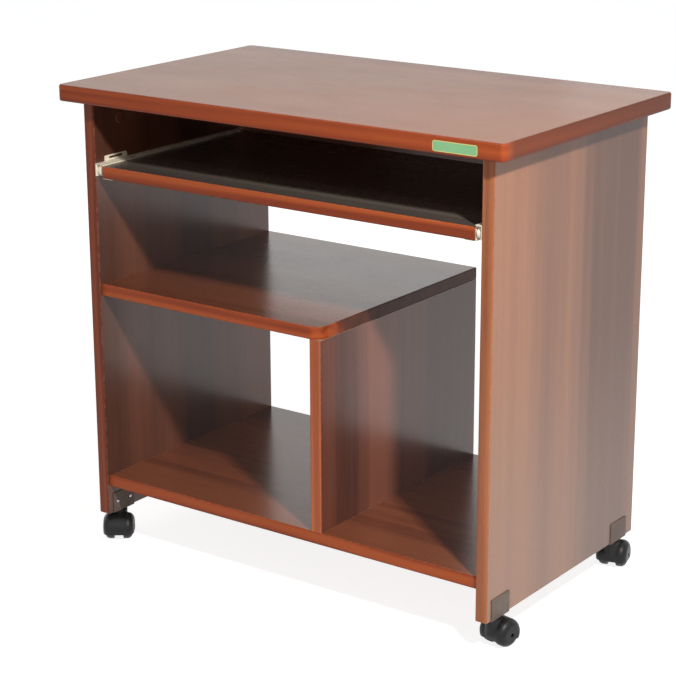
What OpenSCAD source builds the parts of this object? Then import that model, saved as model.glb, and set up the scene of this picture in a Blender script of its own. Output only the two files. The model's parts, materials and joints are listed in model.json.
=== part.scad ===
// Computer desk on four twin-wheel casters, with a pull-out keyboard tray,
// a half-width shelf on a divider and a full-width bottom shelf.
//
// Millimetres. X runs to the right, Y to the back, Z up from the floor.
// The origin lies on the floor under the middle of the desk top.
// Each piece is modelled where it sits with the tray pushed in.
//
// Set "node" to one name of the NODES list to see that piece alone.

/* [Desk] */

// Width of the desk top
desk_w = 800; // [760:10:1000]
// Depth of the desk top from front to back
desk_d = 475; // [465:5:560]
// Height of the desk top's upper face above the floor
desk_h = 750; // [720:5:780]
// How far the top reaches past the outer face of each side panel
side_overhang = 30; // [20:2:50]
// How far the top reaches in front of the side panels
front_overhang = 25; // [15:1:35]
// How far the top reaches behind the side panels
back_overhang = 20; // [10:1:30]

/* [Boards] */

// Thickness of the desk top
top_t = 25; // [22:1:30]
// Thickness of every other board
board_t = 19; // [18:1:22]
// Radius of the top's corners seen from above
top_corner_r = 8; // [6:1:30]
// Thickness of the edging round the desk top, also its rounding
top_edge_t = 3; // [2:0.5:3]
// Thickness of the edging on the front of the other boards, also its rounding
edge_t = 2; // [1:0.5:2]

/* [Shelves and divider] */

// Height of the middle shelf's lower face above the floor
shelf_z = 416; // [380:2:450]
// Radius of the middle shelf's free front corner seen from above
shelf_corner_r = 22; // [10:1:30]
// Height of the bottom shelf's lower face above the floor
bottom_z = 96; // [92:2:130]
// How far the shelves and the divider stand back from the side panels' front
shelf_recess = 6; // [3:1:15]
// Divider's middle, to the right of the desk's middle
divider_x = 64; // [-40:2:100]
// Height of the rail between the side panels at the back of the keyboard space
back_rail_h = 140; // [110:5:160]

/* [Keyboard tray] */

// Clear height between the tray and the desk top
tray_gap = 100; // [85:5:120]
// Depth of the tray from front to back
tray_d = 350; // [330:5:360]
// How far the closed tray stands back from the side panels' front
tray_recess = 3; // [2:1:8]
// How far the tray pulls out before its rear rollers meet the stops
slide_travel = 250; // [200:10:260]

/* [Tray slides] */

// Space for a slide between a side panel and the tray
slide_gap = 12.5; // [12.5:0.5:13]
// Thickness of the slides' sheet steel
sheet_t = 1.2; // [1:0.1:1.2]
// Diameter of the slide rollers
roller_d = 17; // [15:0.5:18]

/* [Casters] */

// Diameter of the caster wheels
wheel_d = 40; // [36:1:42]
// Height of the side panels' lower edge above the floor
panel_z = 50; // [48:1:56]
// Distance from the side panels' front to the front caster stems
caster_front_in = 36; // [32:1:50]
// Distance from the side panels' back to the back caster stems
caster_back_in = 45; // [32:1:60]
// Length of the saddle clip that holds a caster, along the panel
clip_l = 48; // [44:1:56]
// Height of the clip's cheeks up the panel
clip_h = 32; // [28:1:34]

/* [Label] */

// Width of the blank label on the front of the top
label_w = 71; // [40:1:80]
// Height of the blank label
label_h = 15; // [10:1:16]
// Distance from the label to the right end of the top
label_in = 42; // [35:1:120]

/* [Hidden] */

$fn = 64;

// how far a cutting shape runs past the face that it opens
over = 1;
// play round a fixed fastener in its hole, on the radius
slack = 0.05;
// play round a turning shaft in its hole, on the radius
run_fit = 0.06;
// gap between surfaces that roll or slide on each other
roll_gap = 0.3;

// desk frame
side_x = desk_w / 2 - side_overhang;
inner_x = side_x - board_t;
side_mid_x = side_x - board_t / 2;
front_y = -desk_d / 2 + front_overhang;
back_y = desk_d / 2 - back_overhang;
under_top = desk_h - top_t;
shelf_front_y = front_y + shelf_recess;
divider_right = divider_x + board_t / 2;
bottom_top = bottom_z + board_t;
rail_mid_y = back_y - board_t / 2;
rail_mid_z = under_top - back_rail_h / 2;

// cam fasteners: the joint plane is the face where two boards meet
cam_r = 7.5;
cam_h = 14;
cam_back = 34;
cam_slot_w = 1.6;
cam_slot_l = 9;
cam_slot_deep = 1.2;
bolt_hole_r = 4;
bolt_r = 3;
bolt_head_r = 3.8;
bolt_head_h = 3;
thread_r = 2.5;
thread_l = 11;
dowel_r = 4;
dowel_own = 20;
dowel_mate = 10;

// fastener places along the depth of the desk
cam_ys = [front_y + 60, back_y - 60];
dowel_ys = [front_y + 92, back_y - 92];

// each joint: point in the joint plane, way the cam faces, way the bolt points
top_joints = [for (s = [-1, 1]) for (y = cam_ys)
    [[s * side_mid_x, y, under_top], [-s, 0, 0], [0, 0, 1]]];
rail_joints = [for (s = [-1, 1])
    [[s * inner_x, rail_mid_y, rail_mid_z], [0, -1, 0], [s, 0, 0]]];
shelf_joints = [for (y = cam_ys)
    [[-inner_x, y, shelf_z + board_t / 2], [0, 0, -1], [-1, 0, 0]]];
divider_top_joints = [for (y = cam_ys)
    [[divider_x, y, shelf_z], [-1, 0, 0], [0, 0, 1]]];
divider_foot_joints = [for (y = cam_ys)
    [[divider_x, y, bottom_top], [-1, 0, 0], [0, 0, -1]]];
bottom_joints = [for (s = [-1, 1]) for (y = cam_ys)
    [[s * inner_x, y, bottom_z + board_t / 2], [0, 0, -1], [s, 0, 0]]];
cam_joints = concat(top_joints, rail_joints, shelf_joints, divider_top_joints,
    divider_foot_joints, bottom_joints);

// dowels stand in the same joint planes, beside the cams
rail_dowel_dz = back_rail_h / 2 - 18;
top_dowels = [for (s = [-1, 1]) for (y = dowel_ys)
    [[s * side_mid_x, y, under_top], [-s, 0, 0], [0, 0, 1]]];
rail_dowels = [for (s = [-1, 1]) for (d = [-1, 1])
    [[s * inner_x, rail_mid_y, rail_mid_z + d * rail_dowel_dz], [0, -1, 0], [s, 0, 0]]];
shelf_dowels = [for (y = dowel_ys)
    [[-inner_x, y, shelf_z + board_t / 2], [0, 0, -1], [-1, 0, 0]]];
divider_top_dowels = [for (y = dowel_ys)
    [[divider_x, y, shelf_z], [-1, 0, 0], [0, 0, 1]]];
divider_foot_dowels = [for (y = dowel_ys)
    [[divider_x, y, bottom_top], [-1, 0, 0], [0, 0, -1]]];
bottom_dowels = [for (s = [-1, 1]) for (y = dowel_ys)
    [[s * inner_x, y, bottom_z + board_t / 2], [0, 0, -1], [s, 0, 0]]];
all_dowels = concat(top_dowels, rail_dowels, shelf_dowels, divider_top_dowels,
    divider_foot_dowels, bottom_dowels);

// keyboard tray
tray_top = under_top - tray_gap;
tray_z = tray_top - board_t;
tray_front = front_y + tray_recess;
tray_back = tray_front + tray_d;
tray_half = inner_x - slide_gap;

// slides, measured from a side panel's inner face towards the tray
roller_r = roller_d / 2;
roller_in = 3.4;
roller_w = 5.9;
roller_out = roller_in + roller_w;
roller_edge = 0.5;
head_pocket = 1.2;
bend_r = 0.8;
case_rail_w = 10.5;
lip_out = slide_gap - sheet_t - 0.4;
lip_h = 3.4;
case_top = tray_top + 4;
channel_h = roller_d + 1;
case_low = case_top - channel_h - 2 * sheet_t;
case_front = front_y + 1;
case_l = tray_d;
case_back = case_front + case_l;
front_roller_y = case_front + 10;
low_flange_y = front_roller_y + roller_r + 3;
end_stop_h = 12;
stop_w = 4.8;
stop_h = 10;
ear_y = case_front + 21;
ear_l = 51;
ear_h = 8;
ear_corner_r = 3;
ear_slot_w = 3.6;
ear_slot_l = 32;

// tray member
wing_top = case_top - sheet_t - 1.3;
wing_low = wing_top - sheet_t;
wing_out = 4.9;
foot_w = 17.5;
tray_rail_front = tray_front + 2;
rear_roller_y = case_back - sheet_t - 0.5 - roller_r;
tray_rail_back = rear_roller_y + 6;
wing_back = rear_roller_y - roller_r - 1.5;
rear_roller_z = case_low + sheet_t + roll_gap + roller_r;
front_roller_z = wing_low - roll_gap - roller_r;
stop_y = rear_roller_y - slide_travel - roller_r - 0.5 - sheet_t;

// rivets that carry the rollers
rivet_r = 2.5;
rivet_head_r = 4;
rivet_head_h = 0.9;
shoulder_r = 4;

// screws
screw_r = 1.75;
screw_l = 14;
screw_head_r = 3.4;
screw_head_h = 1.8;
case_screw_ys = [case_front + 85, case_front + case_l / 2 + 20, case_back - 25];
case_screw_z = (case_low + case_top) / 2;
tray_screw_ys = [tray_rail_front + 30, (tray_front + tray_back) / 2, tray_back - 40];
foot_screw_u = slide_gap + foot_w / 2;

// casters
wheel_r = wheel_d / 2;
caster_trail = 13;
web_half = 7.4;
wheel_in = 8;
wheel_out = 22;
wheel_dome = 8;
pocket_gap = 1;
hood_wall = 1.8;
hood_low = 12;
axle_r = 3;
axle_half = 19.5;
hub_dish_r = 6;
hub_dish = 1;
stem_r = 4;
stem_low = wheel_r + 8;
boss_r = 13;
clip_t = 1.5;
clip_corner_r = 2;
hood_top = panel_z - clip_t - 2.5;
collar_r = 7;
collar_h = 2.2;
sleeve_r = 5.5;
sleeve_h = 35;
stem_top = panel_z + sleeve_h - 2;
stem_tip = 1.5;
groove_w = 1.6;
groove_deep = 0.4;
clip_screw_z = panel_z + clip_h / 2;
clip_screw_dy = clip_l / 2 - 9;
clip_screw_l = 10;
clip_screw_r = 1.5;
clip_head_r = 2.8;
clip_head_h = 1.4;

// front left, front right, back left, back right
caster_xy = [
    [-side_mid_x, front_y + caster_front_in],
    [side_mid_x, front_y + caster_front_in],
    [-side_mid_x, back_y - caster_back_in],
    [side_mid_x, back_y - caster_back_in]
];
caster_turn = [-144, -11, -172, 14];

// label, a little below the middle of the edge where the flat of the edge has room
label_t = 0.2;
label_corner_r = 3;
label_x = desk_w / 2 - label_in - label_w / 2;
label_drop = max(0, min(1.5, top_t / 2 - top_edge_t - label_h / 2));

// Shared shapes

// box given by its limits along each axis
module block(x0, x1, y0, y1, z0, z1) {
    translate([x0, y0, z0])
        cube([x1 - x0, y1 - y0, z1 - z0]);
}

// rectangle with round corners, centred
module round_rect(w, d, r) {
    square([w - 2 * r, d], center = true);
    square([w, d - 2 * r], center = true);
    for (x = [-1, 1], y = [-1, 1])
        translate([x * (w / 2 - r), y * (d / 2 - r)])
            circle(r = r);
}

// turns a shape so its Z points along "out" and its X along "open"
module place(at, open, out) {
    side = cross(out, open);
    multmatrix([
        [open[0], side[0], out[0], at[0]],
        [open[1], side[1], out[1], at[1]],
        [open[2], side[2], out[2], at[2]],
        [0, 0, 0, 1]
    ])
        children();
}

// joints of a list that lie on one side of the desk, -1 left and 1 right
function on_side(list, s) = [for (j = list) if (j[0][0] * s > 0) j];

// edging section: flat against the board, its two outer corners round
// X is the distance from the board, Y runs across the board's thickness
module edge_section(t, across) {
    square([t / 2, across]);
    translate([0, t])
        square([t, across - 2 * t]);
    for (y = [t, across - t])
        intersection() {
            translate([0, y])
                circle(r = t);
            square([t, across]);
        }
}

// straight edging on the front of a flat board
module front_strip(x0, x1, y_board, z0) {
    translate([x0, y_board, z0])
        rotate([90, 0, 90])
            linear_extrude(x1 - x0)
                mirror([1, 0])
                    edge_section(edge_t, board_t);
}

// straight edging on the front of an upright board
module upright_strip(x0, y_board, z0, z1) {
    translate([x0, y_board, z0])
        linear_extrude(z1 - z0)
            rotate(-90)
                edge_section(edge_t, board_t);
}

// Cuts for the fasteners

// pocket and channel in the board that carries the cam
module cam_cuts(joints) {
    for (j = joints)
        place(j[0], j[1], j[2]) {
            translate([board_t / 2 - cam_h - slack, 0, -cam_back])
                rotate([0, 90, 0])
                    cylinder(r = cam_r + slack, h = cam_h + slack + over);
            translate([0, 0, -cam_back])
                cylinder(r = bolt_hole_r, h = cam_back + over);
        }
}

// hole for the bolt's thread in the mating board
module thread_cuts(joints) {
    for (j = joints)
        place(j[0], j[1], j[2])
            translate([0, 0, -over])
                cylinder(r = thread_r + slack, h = thread_l + slack + over);
}

// holes for dowels, on both sides of the joint plane
module dowel_cuts(dowels) {
    for (d = dowels)
        place(d[0], d[1], d[2])
            translate([0, 0, -dowel_own - slack])
                cylinder(r = dowel_r + slack, h = dowel_own + dowel_mate + 2 * slack);
}

// Desk top

module top_panel() {
    color("#a8795c")
        difference() {
            translate([0, 0, under_top])
                linear_extrude(top_t)
                    round_rect(desk_w - 2 * top_edge_t, desk_d - 2 * top_edge_t,
                        top_corner_r - top_edge_t);
            thread_cuts(top_joints);
            dowel_cuts(top_dowels);
        }
}

// edging that runs right round the desk top
module top_edge() {
    bend = top_corner_r - top_edge_t;
    half_w = desk_w / 2 - top_corner_r;
    half_d = desk_d / 2 - top_corner_r;
    color("#8d4526")
        translate([0, 0, under_top]) {
            // straight runs: front, back, right, left
            for (s = [-1, 1]) {
                translate([-half_w, s * (desk_d / 2 - top_edge_t), 0])
                    rotate([90, 0, 90])
                        linear_extrude(2 * half_w)
                            mirror([s < 0 ? 1 : 0, 0])
                                edge_section(top_edge_t, top_t);
                translate([s * (desk_w / 2 - top_edge_t), half_d, 0])
                    rotate([90, 0, 0])
                        linear_extrude(2 * half_d)
                            mirror([s < 0 ? 1 : 0, 0])
                                edge_section(top_edge_t, top_t);
            }
            // quarter turns at the corners
            for (c = [[1, 1, 0], [-1, 1, 90], [-1, -1, 180], [1, -1, 270]])
                translate([c[0] * half_w, c[1] * half_d, 0])
                    rotate([0, 0, c[2]])
                        rotate_extrude(angle = 90)
                            translate([bend, 0])
                                edge_section(top_edge_t, top_t);
        }
}

// Side panels

module side_board(s) {
    color("#b08a74")
        difference() {
            block(s < 0 ? -side_x : inner_x, s < 0 ? -inner_x : side_x,
                front_y + edge_t, back_y, panel_z, under_top);
            cam_cuts(on_side(top_joints, s));
            dowel_cuts(on_side(top_dowels, s));
            thread_cuts(on_side(rail_joints, s));
            dowel_cuts(on_side(rail_dowels, s));
            thread_cuts(on_side(bottom_joints, s));
            dowel_cuts(on_side(bottom_dowels, s));
            // slide screws
            for (y = case_screw_ys)
                place([s * (inner_x + screw_l), y, case_screw_z], [0, 1, 0], [-s, 0, 0])
                    cylinder(r = screw_r + slack, h = screw_l + over);
            // caster sockets and the screws of their clips
            for (i = s < 0 ? [0, 2] : [1, 3]) {
                translate([caster_xy[i][0], caster_xy[i][1], panel_z - over])
                    cylinder(r = sleeve_r + slack, h = sleeve_h + slack + over);
                for (d = [-1, 1])
                    place([s * (inner_x + clip_screw_l), caster_xy[i][1] + d * clip_screw_dy,
                        clip_screw_z], [0, 1, 0], [-s, 0, 0])
                        cylinder(r = clip_screw_r + slack, h = clip_screw_l + over);
            }
        }
}

module left_side_panel() {
    color("#b08a74")
        difference() {
            side_board(-1);
            thread_cuts(shelf_joints);
            dowel_cuts(shelf_dowels);
        }
}

module right_side_panel() {
    side_board(1);
}

module left_side_edge() {
    color("#9c5434")
        upright_strip(-side_x, front_y + edge_t, panel_z, under_top);
}

module right_side_edge() {
    color("#9c5434")
        upright_strip(inner_x, front_y + edge_t, panel_z, under_top);
}

// Rail, shelves and divider

module back_rail() {
    color("#a8795c")
        difference() {
            block(-inner_x, inner_x, back_y - board_t, back_y,
                under_top - back_rail_h, under_top);
            cam_cuts(rail_joints);
            dowel_cuts(rail_dowels);
        }
}

// plan of the shelf's free end: front edge, round corner, right end
module shelf_plan(inset) {
    r = shelf_corner_r - inset;
    cx = divider_right - shelf_corner_r;
    cy = shelf_front_y + shelf_corner_r;
    translate([-inner_x, cy])
        square([inner_x + divider_right - inset, back_y - cy]);
    translate([-inner_x, shelf_front_y + inset])
        square([inner_x + cx, shelf_corner_r - inset]);
    translate([cx, cy])
        circle(r = r);
}

module middle_shelf() {
    color("#a8795c")
        difference() {
            translate([0, 0, shelf_z])
                linear_extrude(board_t)
                    shelf_plan(edge_t);
            cam_cuts(shelf_joints);
            dowel_cuts(shelf_dowels);
            thread_cuts(divider_top_joints);
            dowel_cuts(divider_top_dowels);
        }
}

// edging along the front, round the free corner and along the right end
module middle_shelf_edge() {
    cx = divider_right - shelf_corner_r;
    cy = shelf_front_y + shelf_corner_r;
    color("#9c5434") {
        front_strip(-inner_x, cx, shelf_front_y + edge_t, shelf_z);
        translate([cx, cy, shelf_z])
            rotate([0, 0, 270])
                rotate_extrude(angle = 90)
                    translate([shelf_corner_r - edge_t, 0])
                        edge_section(edge_t, board_t);
        translate([divider_right - edge_t, back_y, shelf_z])
            rotate([90, 0, 0])
                linear_extrude(back_y - cy)
                    edge_section(edge_t, board_t);
    }
}

module divider_panel() {
    color("#b08a74")
        difference() {
            block(divider_x - board_t / 2, divider_right,
                shelf_front_y + edge_t, back_y, bottom_top, shelf_z);
            cam_cuts(divider_top_joints);
            dowel_cuts(divider_top_dowels);
            cam_cuts(divider_foot_joints);
            dowel_cuts(divider_foot_dowels);
        }
}

module divider_edge() {
    color("#9c5434")
        upright_strip(divider_x - board_t / 2, shelf_front_y + edge_t, bottom_top, shelf_z);
}

module bottom_shelf() {
    color("#a8795c")
        difference() {
            block(-inner_x, inner_x, shelf_front_y + edge_t, back_y, bottom_z, bottom_top);
            cam_cuts(bottom_joints);
            dowel_cuts(bottom_dowels);
            thread_cuts(divider_foot_joints);
            dowel_cuts(divider_foot_dowels);
        }
}

module bottom_shelf_edge() {
    color("#9c5434")
        front_strip(-inner_x, inner_x, shelf_front_y + edge_t, bottom_z);
}

// Fasteners that hold the boards together

// zinc discs that are turned to pull the bolts tight
module cam_locks() {
    color("#c9c9c4")
        for (j = cam_joints)
            place(j[0], j[1], j[2])
                difference() {
                    translate([board_t / 2 - cam_h, 0, -cam_back])
                        rotate([0, 90, 0])
                            cylinder(r = cam_r, h = cam_h);
                    translate([0, 0, -cam_back - bolt_head_h])
                        cylinder(r = bolt_hole_r, h = cam_back);
                    for (a = [0, 90])
                        translate([board_t / 2, 0, -cam_back])
                            rotate([a, 0, 0])
                                cube([2 * cam_slot_deep, cam_slot_w, cam_slot_l], center = true);
                }
}

// steel bolts that screw into one board and are caught by the cam in the other
module cam_bolts() {
    color("#b9b9b2")
        for (j = cam_joints)
            place(j[0], j[1], j[2]) {
                cylinder(r = thread_r, h = thread_l);
                translate([0, 0, -cam_back])
                    cylinder(r = bolt_r, h = cam_back);
                translate([0, 0, -cam_back - bolt_head_h / 2])
                    cylinder(r = bolt_head_r, h = bolt_head_h);
            }
}

// beech dowels beside the cams
module dowels() {
    color("#d9b98c")
        for (d = all_dowels)
            place(d[0], d[1], d[2])
                translate([0, 0, -dowel_own])
                    cylinder(r = dowel_r, h = dowel_own + dowel_mate);
}

// blank sticker on the front of the top
module front_label() {
    color("#3f6b45")
        translate([label_x, -desk_d / 2, under_top + top_t / 2 - label_drop])
            rotate([90, 0, 0])
                linear_extrude(label_t)
                    round_rect(label_w, label_h, label_corner_r);
}

// Keyboard tray

module keyboard_tray() {
    color("#a8795c")
        difference() {
            block(-tray_half, tray_half, tray_front + edge_t, tray_back, tray_z, tray_top);
            for (s = [-1, 1], y = tray_screw_ys)
                translate([s * (inner_x - foot_screw_u), y, tray_z - over])
                    cylinder(r = screw_r + slack, h = screw_l - sheet_t + over);
        }
}

module tray_edge() {
    color("#9c5434")
        front_strip(-tray_half, tray_half, tray_front + edge_t, tray_z);
}

// Tray slides
// "side" puts a left-hand shape on the left (-1) or mirrors it to the right (1).
// Before that, X is the distance from the side panel's inner face.

module side(s) {
    mirror([s > 0 ? 1 : 0, 0, 0])
        translate([-inner_x, 0, 0])
            children();
}

// sweeps a section from y0 to y1, section X stays X and section Y becomes Z
module sweep_y(y0, y1) {
    translate([0, y1, 0])
        rotate([90, 0, 0])
            linear_extrude(y1 - y0)
                children();
}

// quarter ring of bent sheet in a section, centred on the bend
module bend(x, z, turn, inner) {
    translate([x, z])
        rotate(turn)
            intersection() {
                difference() {
                    circle(r = inner + sheet_t);
                    circle(r = inner);
                }
                square(inner + sheet_t);
            }
}

// cylinder along X
module rod_x(x0, x1, y, z, r) {
    translate([x0, y, z])
        rotate([0, 90, 0])
            cylinder(r = r, h = x1 - x0);
}

// upper half of the case rail's section: web, bend and top flange
module case_top_section() {
    bend_out = bend_r + sheet_t;
    translate([0, case_low + bend_out])
        square([sheet_t, case_top - case_low - 2 * bend_out]);
    bend(bend_out, case_top - bend_out, 90, bend_r);
    translate([bend_out, case_top - sheet_t])
        square([case_rail_w - bend_out, sheet_t]);
}

// lower half: bend, running flange and the lip that guides the rear roller
module case_low_section() {
    bend_out = bend_r + sheet_t;
    bend(bend_out, case_low + bend_out, 180, bend_r);
    translate([bend_out, case_low])
        square([lip_out - 2 * bend_out, sheet_t]);
    bend(lip_out - bend_out, case_low + bend_out, 270, bend_r);
    translate([lip_out - sheet_t, case_low + bend_out])
        square([sheet_t, lip_h - bend_out]);
}

module case_rail(s) {
    color("#ece6d6")
        side(s)
            difference() {
                union() {
                    sweep_y(case_front, case_back)
                        case_top_section();
                    sweep_y(low_flange_y, case_back)
                        case_low_section();
                    // web below the cut-away flange at the front
                    block(0, sheet_t, case_front, low_flange_y,
                        case_low, case_low + bend_r + 2 * sheet_t);
                    // turned-up end that stops the rear roller when the tray closes
                    block(0, case_rail_w - over, case_back - sheet_t, case_back,
                        case_low + sheet_t / 2, case_low + end_stop_h);
                    // lanced tab that stops the rear roller when the tray opens
                    block(sheet_t / 2, sheet_t + stop_w, stop_y, stop_y + sheet_t,
                        rear_roller_z - stop_h / 2, rear_roller_z + stop_h / 2 - 2);
                    // raised ear with a slot, above the flange
                    translate([0, ear_y + ear_l / 2, case_top + (ear_h - ear_corner_r) / 2])
                        rotate([90, 0, 90])
                            linear_extrude(sheet_t)
                                round_rect(ear_l, ear_h + ear_corner_r, ear_corner_r);
                }
                translate([-over, ear_y + ear_l / 2, case_top + ear_h / 2])
                    rotate([90, 0, 90])
                        linear_extrude(sheet_t + 2 * over)
                            round_rect(ear_slot_l, ear_slot_w, ear_slot_w / 2 - slack);
                for (y = case_screw_ys)
                    rod_x(-over, sheet_t + over, y, case_screw_z, screw_r + 4 * slack);
                rod_x(-over, sheet_t + over, front_roller_y, front_roller_z, rivet_r + slack);
            }
}

// tray member: foot under the tray, web up its side and a wing over the front roller
module tray_rail(s) {
    bend_out = bend_r + sheet_t;
    web_x = slide_gap - sheet_t;
    color("#ece6d6")
        side(s)
            difference() {
                union() {
                    sweep_y(tray_rail_front, tray_rail_back) {
                        translate([slide_gap, tray_z - sheet_t])
                            square([foot_w, sheet_t]);
                        bend(slide_gap, tray_z, 180, 0);
                        translate([web_x, tray_z])
                            square([sheet_t, wing_top - bend_out - tray_z]);
                    }
                    sweep_y(tray_rail_front, wing_back) {
                        bend(slide_gap - bend_out, wing_top - bend_out, 0, bend_r);
                        translate([wing_out, wing_low])
                            square([slide_gap - bend_out - wing_out, sheet_t]);
                    }
                }
                for (y = tray_screw_ys)
                    translate([foot_screw_u, y, tray_z - sheet_t - over])
                        cylinder(r = screw_r + 4 * slack, h = sheet_t + 2 * over);
                rod_x(web_x - over, slide_gap + over, rear_roller_y, rear_roller_z,
                    rivet_r + slack);
            }
}

// nylon roller; the rivet head sinks into the face named by head_side, -1 or 1
module slide_roller(s, y, z, head_side) {
    pocket_x = head_side > 0 ? roller_out - head_pocket : roller_in - over;
    color("#f3efe2")
        side(s)
            difference() {
                union() {
                    rod_x(roller_in + roller_edge, roller_out - roller_edge, y, z, roller_r);
                    rod_x(roller_in, roller_out, y, z, roller_r - roller_edge);
                }
                rod_x(roller_in - over, roller_out + over, y, z, rivet_r + run_fit);
                rod_x(pocket_x, pocket_x + head_pocket + over, y, z,
                    rivet_head_r + roll_gap);
            }
}

// rivets of the front rollers, flush with the back of the case rails' webs
module front_rivets() {
    color("#b9b9b2")
        for (s = [-1, 1])
            side(s) {
                rod_x(0, roller_out - 0.1, front_roller_y, front_roller_z, rivet_r);
                rod_x(sheet_t, roller_in - roll_gap, front_roller_y, front_roller_z, shoulder_r);
                rod_x(roller_out - 0.1 - rivet_head_h, roller_out - 0.1,
                    front_roller_y, front_roller_z, rivet_head_r);
            }
}

// rivets of the rear rollers, flush with the face of the tray rails' webs
module rear_rivets() {
    color("#b9b9b2")
        for (s = [-1, 1])
            side(s) {
                rod_x(roller_in + 0.1, slide_gap, rear_roller_y, rear_roller_z, rivet_r);
                rod_x(roller_out + roll_gap, slide_gap - sheet_t,
                    rear_roller_y, rear_roller_z, shoulder_r);
                rod_x(roller_in + 0.1, roller_in + 0.1 + rivet_head_h,
                    rear_roller_y, rear_roller_z, rivet_head_r);
            }
}

// pan-head screw along Z: seat at zero, head above, shank below
module pan_screw(r, length, head_r, head_h) {
    difference() {
        union() {
            cylinder(r = head_r, h = head_h * 0.5);
            translate([0, 0, head_h * 0.5])
                cylinder(r1 = head_r, r2 = head_r * 0.7, h = head_h * 0.5);
        }
        for (a = [0, 90])
            translate([0, 0, head_h])
                rotate([0, 0, a])
                    cube([head_r * 1.1, head_r * 0.25, head_h], center = true);
    }
    translate([0, 0, -length + r])
        cylinder(r = r, h = length - r);
    translate([0, 0, -length])
        cylinder(r1 = r * 0.2, r2 = r, h = r);
}

module case_rail_screws() {
    color("#b9b9b2")
        for (s = [-1, 1], y = case_screw_ys)
            place([s * (inner_x - sheet_t), y, case_screw_z], [0, 1, 0], [-s, 0, 0])
                pan_screw(screw_r, screw_l, screw_head_r, screw_head_h);
}

module tray_rail_screws() {
    color("#b9b9b2")
        for (s = [-1, 1], y = tray_screw_ys)
            place([s * (inner_x - foot_screw_u), y, tray_z - sheet_t], [1, 0, 0], [0, 0, -1])
                pan_screw(screw_r, screw_l - 2 * sheet_t, screw_head_r, screw_head_h);
}

// Casters

// saddle clip on the panel's lower edge, with the sleeve that the stem turns in
module caster_clip(i) {
    s = caster_xy[i][0] > 0 ? 1 : -1;
    half_w = board_t / 2 + clip_t;
    color("#6e5a4c")
        translate([caster_xy[i][0], caster_xy[i][1], 0])
            difference() {
                union() {
                    block(-half_w, half_w, -clip_l / 2, clip_l / 2, panel_z - clip_t, panel_z);
                    for (x = [-half_w, board_t / 2])
                        translate([x, 0, panel_z + (clip_h - clip_t) / 2])
                            rotate([90, 0, 90])
                                linear_extrude(clip_t)
                                    round_rect(clip_l, clip_h + clip_t, clip_corner_r);
                    // square lower corners under the round ones of the cheeks
                    for (x = [-half_w, board_t / 2])
                        block(x, x + clip_t, -clip_l / 2, clip_l / 2,
                            panel_z - clip_t, panel_z + clip_corner_r);
                    translate([0, 0, panel_z - clip_t])
                        cylinder(r = sleeve_r, h = clip_t + sleeve_h);
                }
                translate([0, 0, panel_z - clip_t - over])
                    cylinder(r = stem_r + run_fit, h = clip_t + sleeve_h + 2 * over);
                for (d = [-1, 1])
                    place([-s * (half_w + over), d * clip_screw_dy, clip_screw_z],
                        [0, 1, 0], [s, 0, 0])
                        cylinder(r = clip_screw_r + 4 * slack, h = clip_t + 2 * over);
            }
}

module clip_screws() {
    color("#b9b9b2")
        for (c = caster_xy, d = [-1, 1]) {
            s = c[0] > 0 ? 1 : -1;
            place([s * (inner_x - clip_t), c[1] + d * clip_screw_dy, clip_screw_z],
                [0, 1, 0], [-s, 0, 0])
                pan_screw(clip_screw_r, clip_screw_l + clip_t - 1, clip_head_r, clip_head_h);
        }
}

// "at_caster" puts a caster piece on its stem's axis and swivels it.
// Before that, X is the wheels' axis and Y the way the wheels trail.
module at_caster(i) {
    translate([caster_xy[i][0], caster_xy[i][1], 0])
        rotate([0, 0, caster_turn[i]])
            children();
}

// section of the wheels and of the hood over them, grown by "grow"
// X is the distance from the axle and Y the distance from the caster's middle
module barrel_section(grow) {
    half = wheel_out - wheel_dome;
    square_r = wheel_r - wheel_dome;
    translate([0, -half])
        square([wheel_r + grow, 2 * half]);
    translate([0, -wheel_out - grow])
        square([square_r, 2 * (wheel_out + grow)]);
    for (y = [-half, half])
        translate([square_r, y])
            circle(r = wheel_dome + grow);
}

module barrel(grow) {
    translate([0, caster_trail, wheel_r])
        rotate([0, 90, 0])
            rotate_extrude()
                barrel_section(grow);
}

// steel stem pressed into the hood, free to turn in the clip's sleeve
module caster_stem(i) {
    color("#b9b9b2")
        at_caster(i)
            difference() {
                union() {
                    translate([0, 0, stem_low])
                        cylinder(r = stem_r, h = stem_top - stem_tip - stem_low);
                    translate([0, 0, stem_top - stem_tip])
                        cylinder(r1 = stem_r, r2 = stem_r - 1, h = stem_tip);
                    translate([0, 0, hood_top])
                        cylinder(r = collar_r, h = collar_h);
                }
                translate([0, 0, stem_top - 6])
                    difference() {
                        cylinder(r = stem_r + over, h = groove_w);
                        cylinder(r = stem_r - groove_deep, h = groove_w);
                    }
            }
}

// nylon hood: a shell over both wheels with a web between them
module caster_hood(i) {
    reach = 2 * wheel_d;
    color("#232323")
        at_caster(i)
            difference() {
                union() {
                    barrel(pocket_gap + hood_wall);
                    translate([0, 0, wheel_r])
                        cylinder(r = boss_r, h = hood_top - wheel_r);
                }
                difference() {
                    barrel(pocket_gap);
                    block(-web_half, web_half, -reach, reach, -reach, reach);
                }
                block(-reach, reach, -reach, reach, -reach, hood_low);
                translate([0, 0, stem_low])
                    cylinder(r = stem_r + slack, h = hood_top - stem_low + over);
                rod_x(-reach, reach, caster_trail, wheel_r, axle_r + slack);
            }
}

module caster_axle(i) {
    color("#b9b9b2")
        at_caster(i)
            rod_x(-axle_half, axle_half, caster_trail, wheel_r, axle_r);
}

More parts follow.
